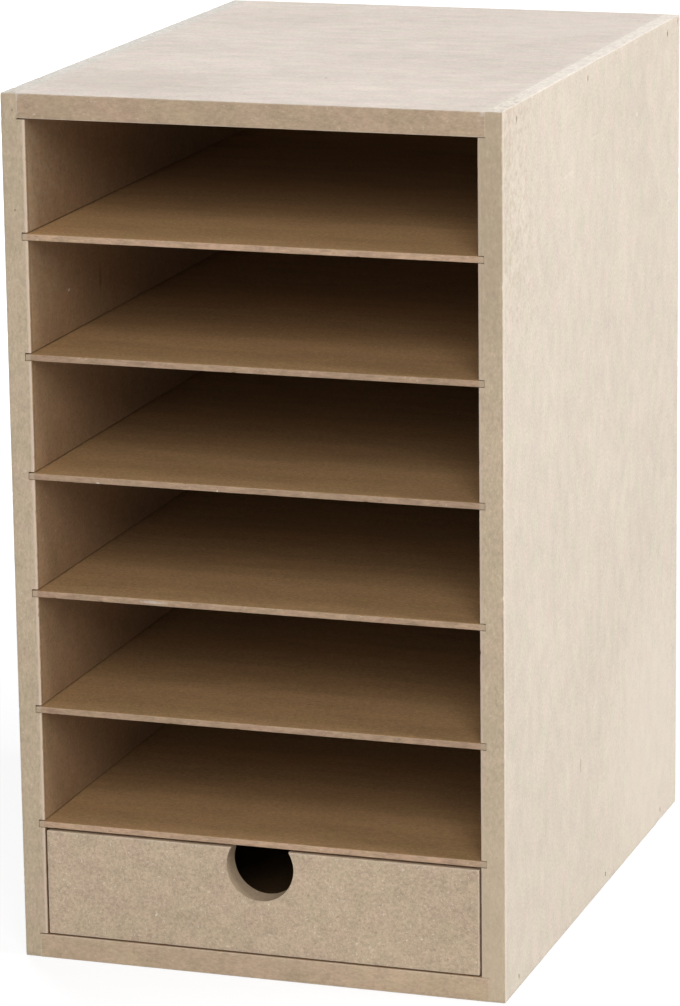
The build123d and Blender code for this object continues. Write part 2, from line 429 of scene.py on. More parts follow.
def spotMesh(name, spots):
    mesh = bpy.data.meshes.new(name)
    mesh.from_pydata([place for place, _, _, _ in spots], [], [])
    for label, index in (("outward", 1), ("headAlong", 2)):
        layer = mesh.attributes.new(label, "FLOAT_VECTOR", "POINT")
        for point, spot in zip(layer.data, spots):
            point.vector = spot[index]
    return mesh


def growPiece(name, tree, inputs, spots=(), smoothBelow=38.0):
    # runs a tree once, and keeps its result as a plain mesh
    seedObject = addObject(name + "Seed", spotMesh(name + "Spots", spots))
    modifier = seedObject.modifiers.new("grow", "NODES")
    modifier.node_group = tree
    sockets = [item for item in tree.interface.items_tree if item.in_out == "INPUT"]
    identifiers = {item.name: item.identifier for item in sockets}
    for label, value in inputs.items():
        modifier[identifiers[label]] = value
    graph = bpy.context.evaluated_depsgraph_get()
    mesh = bpy.data.meshes.new_from_object(seedObject.evaluated_get(graph), depsgraph=graph)
    mesh.name = name
    bpy.data.objects.remove(seedObject)
    for layer in [layer for layer in mesh.attributes if layer.name in ("outward", "headAlong")]:
        mesh.attributes.remove(layer)
    piece = addObject(name, mesh)
    for polygon in mesh.polygons:
        polygon.use_smooth = True
    mesh.set_sharp_from_angle(angle=math.radians(smoothBelow))
    print(f"piece {name}: {len(mesh.polygons)} faces")
    return piece


def settle(piece, body, *nodes):
    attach(piece, body)
    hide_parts(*nodes)
    return piece


# shader groups that the materials share

# the fibreboard's pattern; scales are in features per metre
grainLook = {
    "cloudScale": 16.0, "mottleScale": 120.0,
    "fineScale": 620.0, "finestScale": 1700.0,
    "fineShare": 0.8, "finestShare": 0.5,
    "tintScale": 75.0, "tintSpread": 0.3,
    "bendScale": 700.0, "bendBy": 2.6 * mm,                 # how the flecks' outlines are bent
    "pale": ((520.0, 0.27, 0.22), (230.0, 0.17, 0.10)),     # flecks as (scale, size, share of cells)
    "dark": ((470.0, 0.24, 0.12), (170.0, 0.12, 0.10)),
    "relief": 0.12,
}
# the noise that breaks up wear, spots and bands, and how far it moves their rims
breakUp = {"wearScale": 90.0, "wearFrom": 0.35, "wearFull": 0.62,
           "spotScale": 420.0, "spotBy": 0.16, "spotCore": 0.3, "bandScale": 260.0, "bandBy": 0.3}


def addNoise(tree, vector, scale, detail, roughness=0.55):
    # noise moved to lie round nought, with a spread of about one
    noise = noiseAt(tree, vector, scale, detail, roughness)
    return calc(tree, "MULTIPLY", calc(tree, "SUBTRACT", noise, 0.5), 8.0)


def makeFibreGrain():
    # fibreboard: broad clouds, patches the size of a fingertip, fine grit, pale fibres and dark specks;
    # Tone is a brightness round 1, and Tint goes from 0, pinkish, to 1, greenish
    tree, inp, out = makeShaderTree("fibreGrain", {
        **dict.fromkeys(("Vector", "Streak", "Layers"), "Vector"),
        **dict.fromkeys(("Clouds", "Mottle", "Grit", "Specks"), "Float"),
    }, "Tone", "Tint", "Pale", "Dark", "Height")
    place = inp["Vector"]
    drawn = vecCalc(tree, "MULTIPLY", place, inp["Streak"])
    layered = vecCalc(tree, "MULTIPLY", place, inp["Layers"])
    clouds = addNoise(tree, drawn, grainLook["cloudScale"], 2.0)
    mottle = addNoise(tree, drawn, grainLook["mottleScale"], 3.0)
    fine = addNoise(tree, layered, grainLook["fineScale"], 2.0, 0.7)
    finest = addNoise(tree, layered, grainLook["finestScale"], 1.0)
    grit = calc(tree, "MULTIPLY_ADD", finest, grainLook["finestShare"],
                calc(tree, "MULTIPLY", fine, grainLook["fineShare"]))
    tone = calc(tree, "MULTIPLY_ADD", clouds, inp["Clouds"], 1.0)
    tone = calc(tree, "MULTIPLY_ADD", mottle, inp["Mottle"], tone)
    tone = calc(tree, "MULTIPLY_ADD", grit, inp["Grit"], tone)
    drift = addNoise(tree, place, grainLook["tintScale"], 1.0)
    tint = calc(tree, "MULTIPLY_ADD", drift, grainLook["tintSpread"], 0.5, clamp=True)
    bend = addNode(tree, "ShaderNodeTexNoise", {
        "Vector": place, "Scale": grainLook["bendScale"], "Detail": 1.0})
    bent = vecCalc(tree, "ADD", place, vecCalc(tree, "SCALE", bend.outputs["Color"], grainLook["bendBy"]))

    def flecks(scale, size, keep):
        # a share of the cells of a Voronoi pattern hold one small ragged drop each
        cells = addNode(tree, "ShaderNodeTexVoronoi", {"Vector": bent, "Scale": scale, "Randomness": 1.0})
        drop = ramp(tree, cells.outputs["Distance"], size * 0.4, size, 1.0, 0.0)
        chosen = calc(tree, "GREATER_THAN", splitVec(tree, cells.outputs["Color"])[0], 1.0 - keep)
        return calc(tree, "MULTIPLY", calc(tree, "MULTIPLY", drop, chosen), inp["Specks"], clamp=True)

    pale = calc(tree, "MAXIMUM", *[flecks(*kind) for kind in grainLook["pale"]])
    dark = calc(tree, "MAXIMUM", *[flecks(*kind) for kind in grainLook["dark"]])
    height = calc(tree, "MULTIPLY_ADD", grit, grainLook["relief"], 0.5)
    return closeTree(tree, out, {"Tone": tone, "Tint": tint, "Pale": pale, "Dark": dark, "Height": height})


def makeEdgeWear():
    # 1 along the edges of a box and 0 away from them, broken up by noise
    tree, inp, out = makeShaderTree("edgeWear", {
        "Vector": "Vector", **corners, "Width": "Float", "Break Up": "Float"}, "Mask")
    below = vecCalc(tree, "ABSOLUTE", vecCalc(tree, "SUBTRACT", inp["Vector"], inp["Low"]))
    above = vecCalc(tree, "ABSOLUTE", vecCalc(tree, "SUBTRACT", inp["High"], inp["Vector"]))
    toEdge = middleOf(tree, vecCalc(tree, "MINIMUM", below, above))
    near = ramp(tree, toEdge, 0.0, inp["Width"], 1.0, 0.0)
    patches = noiseAt(tree, inp["Vector"], breakUp["wearScale"], 4.0)
    bare = ramp(tree, patches, breakUp["wearFrom"], breakUp["wearFull"], 1.0, 0.0)
    kept = calc(tree, "SUBTRACT", 1.0, calc(tree, "MULTIPLY", bare, inp["Break Up"]))
    return closeTree(tree, out, {"Mask": calc(tree, "MULTIPLY", near, kept)})


def makeSpot():
    # a soft-edged mark of the given radii round a point, its rim broken up a little
    tree, inp, out = makeShaderTree("spot", {
        "Vector": "Vector", "At": "Vector", "Radii": "Vector", "Strength": "Float"}, "Mask")
    reach = vecCalc(tree, "DIVIDE", vecCalc(tree, "SUBTRACT", inp["Vector"], inp["At"]), inp["Radii"])
    rough = addNoise(tree, inp["Vector"], breakUp["spotScale"], 3.0)
    ragged = calc(tree, "MULTIPLY_ADD", rough, breakUp["spotBy"], vecCalc(tree, "LENGTH", reach))
    inside = ramp(tree, ragged, breakUp["spotCore"], 1.0, 1.0, 0.0)
    return closeTree(tree, out, {"Mask": calc(tree, "MULTIPLY", inside, inp["Strength"])})


def makeBand():
    # 1 inside a box and 0 outside it, with soft sides
    tree, inp, out = makeShaderTree("band", {
        "Vector": "Vector", **corners, "Soft": "Float", "Strength": "Float"}, "Mask")
    beyond = vecCalc(tree, "MAXIMUM", vecCalc(tree, "SUBTRACT", inp["Low"], inp["Vector"]),
                     vecCalc(tree, "SUBTRACT", inp["Vector"], inp["High"]))
    x, y, z = splitVec(tree, beyond)[:3]
    outside = calc(tree, "MAXIMUM", x, calc(tree, "MAXIMUM", y, z))
    rough = addNoise(tree, inp["Vector"], breakUp["bandScale"], 2.0)
    patches = calc(tree, "MULTIPLY", rough, breakUp["bandBy"])
    uneven = calc(tree, "MULTIPLY_ADD", patches, inp["Soft"], outside)
    start, end = calc(tree, "MULTIPLY", inp["Soft"], -0.5), calc(tree, "MULTIPLY", inp["Soft"], 0.5)
    inside = ramp(tree, uneven, start, end, 1.0, 0.0)
    return closeTree(tree, out, {"Mask": calc(tree, "MULTIPLY", inside, inp["Strength"])})


fibreGrain, edgeWear, spotMark, bandMark = makeFibreGrain(), makeEdgeWear(), makeSpot(), makeBand()


# what every board's surface has in common
boardFinish = {
    "darkSpeck": (0.27, 0.18, 0.10),
    "paleFibre": (0.90, 0.84, 0.72),
    "pink": (1.017, 0.988, 1.006),          # the tints that the ground drifts between
    "green": (0.986, 1.006, 0.974),
    "facing": (0.55, 0.8),                  # where a face starts and fully counts as facing a way
    "topEdge": (2 * mm, mm),                # how far below the top its own colour starts and is full
    "relief": (0.2, 0.7),                   # the low and high ends of the grain's height
    "roughSwing": 0.08,                     # how much smoother and rougher they are
    "wornRough": 0.06,
    "bumpDepth": 0.12 * mm,
}


def mixColor(tree, factor, a, b, blend="MIX"):
    node = addNode(tree, "ShaderNodeMix", data_type="RGBA", blend_type=blend)
    setInput(tree, node, 0, factor)
    for index, value in ((6, a), (7, b)):
        setInput(tree, node, index, value if isinstance(value, bpy.types.NodeSocket) else (*value, 1.0))
    return node.outputs[2]


def emptyTree(owner):
    # owner is a material or a world
    owner.use_nodes = True
    owner.node_tree.nodes.clear()
    return owner.node_tree


def newMaterial(name):
    material = bpy.data.materials.new(name)
    tree = emptyTree(material)
    shader = addNode(tree, "ShaderNodeBsdfPrincipled")
    addNode(tree, "ShaderNodeOutputMaterial", {"Surface": shader.outputs[0]})
    return material, tree, shader, addNode(tree, "ShaderNodeTexCoord").outputs


def addBump(tree, shader, height, strength, depth):
    bump = addNode(tree, "ShaderNodeBump", {"Height": height, "Strength": strength, "Distance": depth})
    setInput(tree, shader, "Normal", bump.outputs[0])


def towards(tree, normal, direction):
    # 1 where the surface faces the given way
    return ramp(tree, vecCalc(tree, "DOT_PRODUCT", normal, direction), *boardFinish["facing"])


def scaled(parts, by):
    return tuple(part * by for part in parts)


def boardMaterial(name, node, look):
    # look["outward"] says which way the outer face looks; the rest is the inner face and sawn edges
    material, tree, shader, coords = newMaterial(name)
    place, normal = coords["Object"], coords["Normal"]
    low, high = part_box(node)
    outward = Vector(look["outward"])
    isOuter, isInner = towards(tree, normal, outward), towards(tree, normal, -outward)
    base = mixColor(tree, isInner, mixColor(tree, isOuter, look["edge"], look["outer"]), look["inner"])
    if "topEdge" in look:
        upper = ramp(tree, splitVec(tree, place)[2], *[high.z - below for below in boardFinish["topEdge"]])
        isUpper = calc(tree, "MULTIPLY", towards(tree, normal, (0, 0, 1)), upper)
        base = mixColor(tree, isUpper, base, look["topEdge"])
    isFace = calc(tree, "ADD", isOuter, isInner, clamp=True)
    # on the sawn edges the grain lies in layers along the board
    across = Vector([abs(part) for part in outward])
    flat = Vector((1, 1, 1)) - across
    layers = mixColor(tree, isFace, across + flat * look["layering"], (1, 1, 1))
    streak = mixColor(tree, isFace, (1, 1, 1), look["streak"])
    grit = calc(tree, "ADD", ramp(tree, isFace, 0.0, 1.0, look["edgeGrit"], look["grit"]),
                ramp(tree, isInner, 0.0, 1.0, 0.0, look["innerGrit"] - look["grit"]))
    specks = ramp(tree, isFace, 0.0, 1.0, 1.0, look["specks"])
    grain = useGroup(tree, fibreGrain, {
        "Vector": place, "Streak": streak, "Layers": layers, "Clouds": look["clouds"],
        "Mottle": look["mottle"], "Grit": grit, "Specks": specks})
    wear = useGroup(tree, edgeWear, {"Vector": place, "Low": low, "High": high,
                                     "Width": look["wearWidth"], "Break Up": look["wearBreaks"]})["Mask"]
    tints = mixColor(tree, grain["Tint"], boardFinish["pink"], boardFinish["green"])
    color = vecCalc(tree, "SCALE", mixColor(tree, 1.0, base, tints, "MULTIPLY"), grain["Tone"])
    for mask, part, fleckColor in ((grain["Pale"], look["palePart"], boardFinish["paleFibre"]),
                                   (grain["Dark"], look["darkPart"], boardFinish["darkSpeck"]),
                                   (wear, look["wear"], look["wearColor"])):
        color = mixColor(tree, calc(tree, "MULTIPLY", mask, part), color, fleckColor)
    for start, end, soft, strength, bandColor in look.get("bands", ()):
        band = useGroup(tree, bandMark, {
            "Vector": place, "Low": start, "High": end, "Soft": soft, "Strength": strength})
        color = mixColor(tree, band["Mask"], color, bandColor)
    for at, radii, strength, markColor in look.get("marks", ()):
        mark = useGroup(tree, spotMark, {
            "Vector": place, "At": at, "Radii": scaled(radii, mm), "Strength": strength})
        color = mixColor(tree, mark["Mask"], color, markColor)
    setInput(tree, shader, "Base Color", color)
    rough = ramp(tree, grain["Height"], *boardFinish["relief"], look["rough"] + boardFinish["roughSwing"],
                 look["rough"] - boardFinish["roughSwing"])
    setInput(tree, shader, "Roughness", calc(tree, "MULTIPLY_ADD", wear, boardFinish["wornRough"], rough))
    shader.inputs["Specular IOR Level"].default_value = look["specular"]
    addBump(tree, shader, grain["Height"], look["bump"], boardFinish["bumpDepth"])
    return material


# what all the fibreboard has in common; each piece changes what differs on it
plainBoard = {
    "edge": (0.516, 0.411, 0.289),
    # the inner faces are painted darker and browner than the outer faces of the same board: painted shade
    # inside the bays
    "inner": (0.372, 0.237, 0.131),
    "streak": (1, 1, 1), "layering": 0.5,
    "clouds": 0.02, "mottle": 0.032,
    "grit": 0.065, "innerGrit": 0.11, "edgeGrit": 0.08, "specks": 0.7,
    "palePart": 0.22, "darkPart": 0.22,
    "wear": 0.35, "wearColor": (0.90, 0.84, 0.72), "wearWidth": 0.9 * mm, "wearBreaks": 0.6,
    "rough": 0.80, "specular": 0.25, "bump": 0.25,
}


steelLook = {
    "clean": (0.30, 0.27, 0.24), "rust": (0.16, 0.085, 0.045),
    "scale": 1400.0, "rusting": (0.45, 0.62),       # the noise levels between clean and rusty
    "metallic": (0.9, 0.25), "rough": (0.4, 0.75), "roughening": (0.3, 0.7),
    "bump": 0.4, "bumpDepth": 0.05 * mm,
}


def steelMaterial():
    material, tree, shader, coords = newMaterial("bradSteel")
    spots = noiseAt(tree, coords["Object"], steelLook["scale"], 4.0)
    rusty = ramp(tree, spots, *steelLook["rusting"])
    setInput(tree, shader, "Base Color", mixColor(tree, rusty, steelLook["clean"], steelLook["rust"]))
    setInput(tree, shader, "Metallic", ramp(tree, rusty, 0.0, 1.0, *steelLook["metallic"]))
    setInput(tree, shader, "Roughness", ramp(tree, spots, *steelLook["roughening"], *steelLook["rough"]))
    addBump(tree, shader, spots, steelLook["bump"], steelLook["bumpDepth"])
    return material


bradSteel = steelMaterial()


def growBoard(name, tree, node, body, look, rows, crowding, seed, spots=(), more=None):
    # a board that fills its CAD node's box, unless more says otherwise
    low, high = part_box(node)
    piece = growPiece(name, tree, {
        "Low": low, "High": high, **{f"Rows {axis}": count for axis, count in zip("XYZ", rows)},
        "Crowding": crowding, "Seed": seed, "Round": look["round"], "Wobble": look["wobble"],
        "Chips": look["chips"], "Material": boardMaterial(name, node, look), **(more or {})}, spots)
    return settle(piece, body, node)


def cornersOf(boxes):
    # the low and high corners of boxes, under the names of a tree's inputs
    return {f"{box} {end}": corner for box, pair in boxes.items()
            for end, corner in zip(("Low", "High"), pair)}


# the case
caseLook = {
    "grooveUnder": 0.1 * mm,                        # clearance under a shelf
    "grooveOver": {-1: 0.65 * mm, 1: 0.3 * mm},     # and over it, left and right
    "grooveEnd": 0.05 * mm,                         # past its end
    "seam": 0.05 * mm,                              # the joint between the top or bottom and a side
    "lapGap": {-1: 0.5 * mm, 1: 0.12 * mm},         # the dark line where the side's lap ends
    "spare": 3 * mm,                                # sawn off each end of the top and bottom
    "dentFromFront": 134 * mm,                    # a lens-shaped dent in the right side
    "dentHeight": 78.2 * mm,
    "dentRadii": (0.35 * mm, 0.8 * mm, 3.6 * mm),
}
caseEdges = {"round": 0.6 * mm, "wobble": 0.22 * mm, "chips": 0.45 * mm}
endEdges = {"round": caseEdges["round"] * 0.7, "wobble": caseEdges["wobble"] * 0.6,
            "chips": caseEdges["chips"] * 0.6}
past = 5 * mm   # how far a cutter runs out of the board

sideLow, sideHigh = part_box("right_side_panel")
topLow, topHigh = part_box("top_panel")
backLow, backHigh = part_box("back_panel")
shelves = sorted(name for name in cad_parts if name.startswith("shelf_"))
shelfLow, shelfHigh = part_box(shelves[0])
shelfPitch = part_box(shelves[1])[0].z - shelfLow.z
outerX, innerX, lapX = sideHigh.x, sideLow.x, topHigh.x
frontY, backY, panelY = sideLow.y, sideHigh.y, backLow.y
caseTop, boardThick = sideHigh.z, topHigh.z - topLow.z


def sideBox(side, x, y, z):
    # the corners of a box whose x range is counted from the middle, to the left (-1) or right (1)
    low, high = sorted(side * part for part in x)
    return (low, y[0], z[0]), (high, y[1], z[1])


def makeSideBoard(name, node, side, seed, dented):
    under, over, gap = caseLook["grooveUnder"], caseLook["grooveOver"][side], caseLook["lapGap"][side]
    through, inside = (frontY - past, backY + past), innerX - past
    cuts = {
        "Groove": sideBox(side, (inside, shelfHigh.x + caseLook["grooveEnd"]), through,
                          (shelfLow.z - under, shelfHigh.z + over)),
        "Top Lap": sideBox(side, (inside, lapX), through, (caseTop - boardThick - gap, caseTop + past)),
        "Bottom Lap": sideBox(side, (inside, lapX), through, (-past, boardThick + gap)),
        "Rebate": sideBox(side, (inside, backHigh.x), (panelY, backY + past), (backLow.z, backHigh.z)),
    }
    dentPlace = (outerX, frontY + caseLook["dentFromFront"], caseLook["dentHeight"])
    look = {**plainBoard, **caseEdges, "outward": (side, 0, 0), "outer": (0.626, 0.549, 0.456),
            "topEdge": topEdges[side], "streak": (1, 1, 0.7), "marks": caseMarksAndPaintedLight[side],
            "bands": [(*sideBox(side, *box), *rest) for box, *rest in caseBands[side]]}
    low, high = sideBox(side, (innerX, outerX), (frontY, backY), (0, caseTop))
    return growBoard(name, sideTree, node, "case", look, (13, 61, 301), (2.4, 1.9, 1.0), seed,
                     bradSpots(sideBrads[side]), {
                         "Low": low, "High": high, **cornersOf(cuts), "Groove Count": len(shelves),
                         "Groove Pitch": shelfPitch, "Dent At": dentPlace if dented else (0, 0, -1),
                         "Dent Size": caseLook["dentRadii"]})


sideBrads = {-1: "left_side_brads", 1: "right_side_brads"}
# the left top edge is painted darker, as painted shade, and the right one paler, as painted light
topEdges = {-1: (0.70, 0.66, 0.59), 1: (0.86, 0.785, 0.69)}     # the colours of their top edges
# marks and painted light and shade on the boards, as (place, radii in millimetres, strength, colour)
brownMark, greyMark, paleMark = (0.16, 0.095, 0.05), (0.52, 0.47, 0.38), (0.88, 0.81, 0.70)


def bradStains(node):
    # the fibres are torn and stained round the brads, more so above and below
    return [(place, (1, 0.9, 2.3), 0.55, brownMark) for place, *_ in bradSpots(node)]


caseMarksAndPaintedLight = {
    -1: [((-116.5 * mm, frontY, 418.7 * mm), (0.6, 1, 1), 0.7, brownMark),
         ((-116.5 * mm, frontY, 371.2 * mm), (0.5, 1, 0.8), 0.7, brownMark),
         ((-innerX, -113.5 * mm, 323.4 * mm), (1, 1.8, 1), 0.6, paleMark),
         ((-innerX, -72 * mm, 321.5 * mm), (1, 2, 8), 0.6, brownMark),
         *bradStains(sideBrads[-1])],
    1: [((outerX, backY - 5 * mm, 424 * mm), (1, 1.2, 2.6), 0.5, brownMark),
        ((118.5 * mm, frontY, 72.4 * mm), (0.5, 1, 0.5), 0.7, brownMark),
        ((114.5 * mm, frontY, 60.2 * mm), (0.5, 1, 0.5), 0.7, brownMark),
        ((outerX, -60 * mm, 423.5 * mm), (1, 5, 3), 0.22, greyMark),
        ((outerX, -51 * mm, 379 * mm), (1, 15, 1.2), 0.15, paleMark),
        ((outerX, 76.6 * mm, 388.4 * mm), (1, 2.2, 1.6), 0.35, paleMark),
        ((outerX, 47.3 * mm, 385 * mm), (1, 1.4, 1.2), 0.30, greyMark),
        ((outerX, frontY + 134 * mm, 78.2 * mm), (1, 1.3, 4.8), 0.35, brownMark),
        # painted shade makes the front edge darker high up; painted light makes it paler low down, and the
        # side paler low down behind
        ((116.5 * mm, frontY, 385 * mm), (40, 1.2, 120), 0.37, (0.36, 0.28, 0.19)),
        ((116.5 * mm, frontY, 30 * mm), (40, 1.2, 120), 0.39, (0.64, 0.52, 0.37)),
        ((outerX, 110 * mm, 50 * mm), (1, 110, 110), 0.45, (0.74, 0.655, 0.555)),
        *bradStains(sideBrads[1])],
}
# bands along the arrises of a side board, as ((x, y and z ranges), softness, strength, colour)
opening, wholeHeight = (boardThick, caseTop - boardThick), (0.0, caseTop)
rubbedArris = (((innerX - mm, innerX + 1.3 * mm), (frontY - mm, frontY + 0.5 * mm), opening),
               0.6 * mm, 0.75, (0.62, 0.49, 0.385))
shadedWall = (((innerX - mm, innerX + 0.3 * mm), (frontY + mm, frontY + 2.6 * mm), opening),
              0.8 * mm, 0.45, (0.17, 0.12, 0.06))
# painted shade: a dark line down the front face along its right outer corner
paintedShadeCorner = (((outerX - mm, outerX + mm), (frontY - mm, frontY + 0.4 * mm), wholeHeight),
                  0.5 * mm, 0.45, (0.27, 0.19, 0.12))
rubbedCorner = (((outerX - 0.2 * mm, outerX + mm), (frontY + 0.5 * mm, frontY + 2.4 * mm), wholeHeight),
                0.8 * mm, 0.32, (0.76, 0.66, 0.57))
# painted shade: the side boards' front edges grow darker towards the top
upwards = (caseTop - 60 * mm, caseTop + 90 * mm)
paintedShadeAbove = (((innerX - mm, outerX + mm), (frontY - mm, frontY + mm), upwards),
               110 * mm, 0.5, (0.43, 0.34, 0.235))
caseBands = {-1: [paintedShadeAbove, rubbedArris, shadedWall],
             1: [paintedShadeAbove, rubbedArris, shadedWall, paintedShadeCorner, rubbedCorner]}
# the colours of the side boards' top edges spread a little onto the top board near the seams; the left band
# is painted darker, as painted shade, and the right one paler, as painted light
seamStrip = ((lapX - 1.5 * mm, lapX + 9 * mm), (frontY - mm, backY + mm), (caseTop - mm, caseTop + mm))
topBands = [(*sideBox(side, *seamStrip), 7 * mm, 0.45, color)
            for side, color in ((-1, (0.72, 0.68, 0.61)), (1, (0.84, 0.76, 0.67)))]
# the three broad patches are painted light and shade: darker over the left front and left back of the top,
# paler over its right back; the small ones are marks
topMarksAndPaintedLight = [((-72 * mm, -118 * mm, caseTop), (62, 55, 1), 0.33, (0.56, 0.475, 0.385)),
            ((-70 * mm, 110 * mm, caseTop), (60, 70, 1), 0.20, (0.58, 0.49, 0.41)),
            ((70 * mm, 110 * mm, caseTop), (60, 70, 1), 0.30, (0.84, 0.745, 0.655)),
            ((12.5 * mm, -85.7 * mm, caseTop), (0.7, 1.4, 1), 0.7, brownMark),
            ((-64 * mm, -133 * mm, caseTop), (11, 3.4, 1), 0.30, greyMark),
            ((-46 * mm, -126 * mm, caseTop), (13, 2.8, 1), 0.26, greyMark),
            ((-82 * mm, -104 * mm, caseTop), (16, 5, 1), 0.20, greyMark)]


def makeEndBoard(name, node, inwards, seed):
    # inwards is -1 for the top board and 1 for the bottom one
    low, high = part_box(node)
    isTop = inwards < 0
    landing = (caseTop - boardThick - past, backHigh.z) if isTop else (backLow.z, boardThick + past)
    look = {**plainBoard, **endEdges, "outward": (0, 0, -inwards), "outer": (0.730, 0.640, 0.556),
            # the top board's sawn edges are painted darker than the bottom board's: painted shade high up
            # on the front
            "edge": (0.430, 0.318, 0.217) if isTop else (0.511, 0.385, 0.263), "streak": (0.5, 1, 1),
            "grit": 0.052, "innerGrit": 0.052, "clouds": 0.035, "mottle": 0.04, "wearWidth": 0.8 * mm,
            "marks": topMarksAndPaintedLight if isTop else (), "bands": topBands if isTop else ()}
    offcut = ((high.x - caseLook["seam"], high.x + past), (low.y - past, high.y + past),
              (low.z - past, high.z + past))
    cuts = {"Rebate": ((-high.x - past, panelY, landing[0]), (high.x + past, backY + past, landing[1])),
            "Left Offcut": sideBox(-1, *offcut), "Right Offcut": sideBox(1, *offcut)}
    spare = Vector((caseLook["spare"], 0, 0))
    return growBoard(name, endTree, node, "case", look, (181, 37, 13), (1.0, 2.5, 2.4), seed,
                     more={"Low": low - spare, "High": high + spare, **cornersOf(cuts)})


def makeThinBoard(name, node, body, look, rows, crowding, seed, brads=None):
    low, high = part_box(node)
    # of the brads named, those whose place lies on this board
    spots = [spot for spot in (bradSpots(brads) if brads else ())
             if all(low[i] - nearBy < spot[0][i] < high[i] + nearBy for i in range(3))]
    return growBoard(name, sheetTree, node, body, look, rows, crowding, seed, spots)


makeSideBoard("leftSide", "left_side_panel", -1, 3.1, False)
makeSideBoard("rightSide", "right_side_panel", 1, 7.4, True)
makeEndBoard("topBoard", "top_panel", -1, 1.7)
makeEndBoard("bottomBoard", "bottom_panel", 1, 5.2)
thinFace = (0.408, 0.251, 0.117)
panelLook = {**plainBoard, "outward": (0, 1, 0), "outer": thinFace, "inner": thinFace,
             "round": 0.25 * mm, "wobble": 0.08 * mm, "chips": 0.2 * mm,
             "streak": (1, 1, 0.4), "grit": 0.1, "mottle": 0.05, "wear": 0.2}
makeThinBoard("backPanel", "back_panel", "case", panelLook, (61, 9, 101), (1.6, 1.6, 1.6), 2.3,
              "back_panel_brads")
print("case made")


# the shelves
shelfLook = {
    **plainBoard, "outward": (0, 0, 1), "outer": thinFace, "inner": thinFace, "edge": (0.400, 0.270, 0.175),
    "round": 0.4 * mm, "wobble": 0.16 * mm, "chips": 0.5 * mm,
    "streak": (0.2, 1, 1), "layering": 0.3, "clouds": 0.03, "mottle": 0.055,
    "grit": 0.125, "innerGrit": 0.125, "edgeGrit": 0.125, "palePart": 0.2, "darkPart": 0.2,
    "wear": 0.2, "wearWidth": 0.5 * mm, "rough": 0.68, "specular": 0.35,
}
edgeTones = (1.16, 0.95, 0.99, 0.87, 0.90, 1.12)     # the front edges, from the lowest shelf up
faceTones = (1.0, 0.99, 0.98, 0.96, 0.98, 1.14)      # and the faces
shelfFront = shelfLow.y
chipMarks = {"shelf_4": [((-18.1 * mm, shelfFront, 241.2 * mm), (0.7, 1, 0.8), 0.8, paleMark),
                         ((-78.2 * mm, shelfFront, 241.2 * mm), (1.2, 1, 0.7), 0.6, paleMark)],
             "shelf_3": [((-52 * mm, shelfFront, 184.5 * mm), (9, 1, 1), 0.35, paleMark)]}

firstSeed, seedStep = 11.0, 1.9
for number, node in enumerate(shelves):
    low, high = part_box(node)
    # both ends take the side board's edge colour where they lie in their grooves, darkened as painted
    # shade, more on the right
    grooveEndShade = (innerX + 0.2 * mm, high.x + mm), (low.y - mm, low.y + 2 * mm), (low.z - mm, high.z + mm)
    ends = [(*sideBox(side, *grooveEndShade), 0.8 * mm, 0.7, scaled(plainBoard["edge"], tone))
            for side, tone in ((-1, 0.93), (1, 0.84))]
    face = scaled(thinFace, faceTones[number])
    look = {**shelfLook, "edge": scaled(shelfLook["edge"], edgeTones[number]), "outer": face, "inner": face,
            "bands": ends, "marks": chipMarks.get(node, ())}
    makeThinBoard(node.replace("_", ""), node, node, look, (181, 33, 9), (1.0, 2.6, 1.5),
                  firstSeed + seedStep * number)
print("shelves made:", len(shelves))


# the drawer
drawerLook = {
    "notchRadius": 17 * mm,
    "notchDrop": 8.9 * mm,      # the notch's centre below the top edge
    "rim": 0.45 * mm,
    "face": (0.527, 0.410, 0.290),
}
drawerEdges = {"round": 0.6 * mm, "wobble": 0.12 * mm, "chips": 0.3 * mm}
frontLow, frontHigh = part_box("drawer_front")
wallLow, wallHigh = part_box("drawer_right_side")
floorLow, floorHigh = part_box("drawer_bottom")


def makeDrawerFront():
    lapY = (wallLow.y, frontHigh.y + past)
    cuts = {label: sideBox(side, (wallLow.x, wallHigh.x + past), lapY, (frontLow.z - past, wallHigh.z))
            for label, side in (("Left Lap", -1), ("Right Lap", 1))}
    cuts["Bottom Lap"] = ((-wallLow.x - past, lapY[0], frontLow.z - past),
                          (wallLow.x + past, lapY[1], floorHigh.z))
    look = {**plainBoard, **drawerEdges, "outward": (0, -1, 0), "outer": drawerLook["face"],
            "edge": (0.49, 0.375, 0.255), "mottle": 0.04, "grit": 0.12, "specks": 1.0,
            "palePart": 0.45, "darkPart": 0.5, "wear": 0.3, "bump": 0.4}
    notchAt = (0, frontLow.y, frontHigh.z - drawerLook["notchDrop"])
    return growBoard("drawerFront", frontTree, "drawer_front", "drawer", look, (141, 15, 41),
                     (1.3, 2.2, 1.5), 23.0, more={
                         **cornersOf(cuts), "Notch At": notchAt,
                         "Notch Radius": drawerLook["notchRadius"], "Rim": drawerLook["rim"]})


makeDrawerFront()
wallLook = {**panelLook, "round": 0.3 * mm, "wear": 0.3, "outward": (1, 0, 0)}
floorFace = scaled(thinFace, 0.65)
floorLook = {**wallLook, "outward": (0, 0, 1), "streak": (1, 0.3, 1),
             "outer": floorFace, "inner": floorFace}
backLook = {**wallLook, "outward": (0, 1, 0), "outer": drawerLook["face"], "inner": drawerLook["face"],
            "round": 0.5 * mm}
wallGrid = ((9, 81, 25), (1.5, 1.3, 1.6))       # rows of vertices, and how they crowd
for side, seed in (("left", 31.0), ("right", 32.0)):
    makeThinBoard(f"drawer{side.title()}Wall", f"drawer_{side}_side", "drawer", wallLook, *wallGrid, seed,
                  f"drawer_{side}_brads")
makeThinBoard("drawerFloor", "drawer_bottom", "drawer", floorLook, (61, 81, 9), (1.4, 1.4, 1.5), 33.0,
              "drawer_bottom_brads")
makeThinBoard("drawerBack", "drawer_back", "drawer", backLook, (81, 11, 25), (1.4, 1.8, 1.6), 34.0)
print("drawer made")


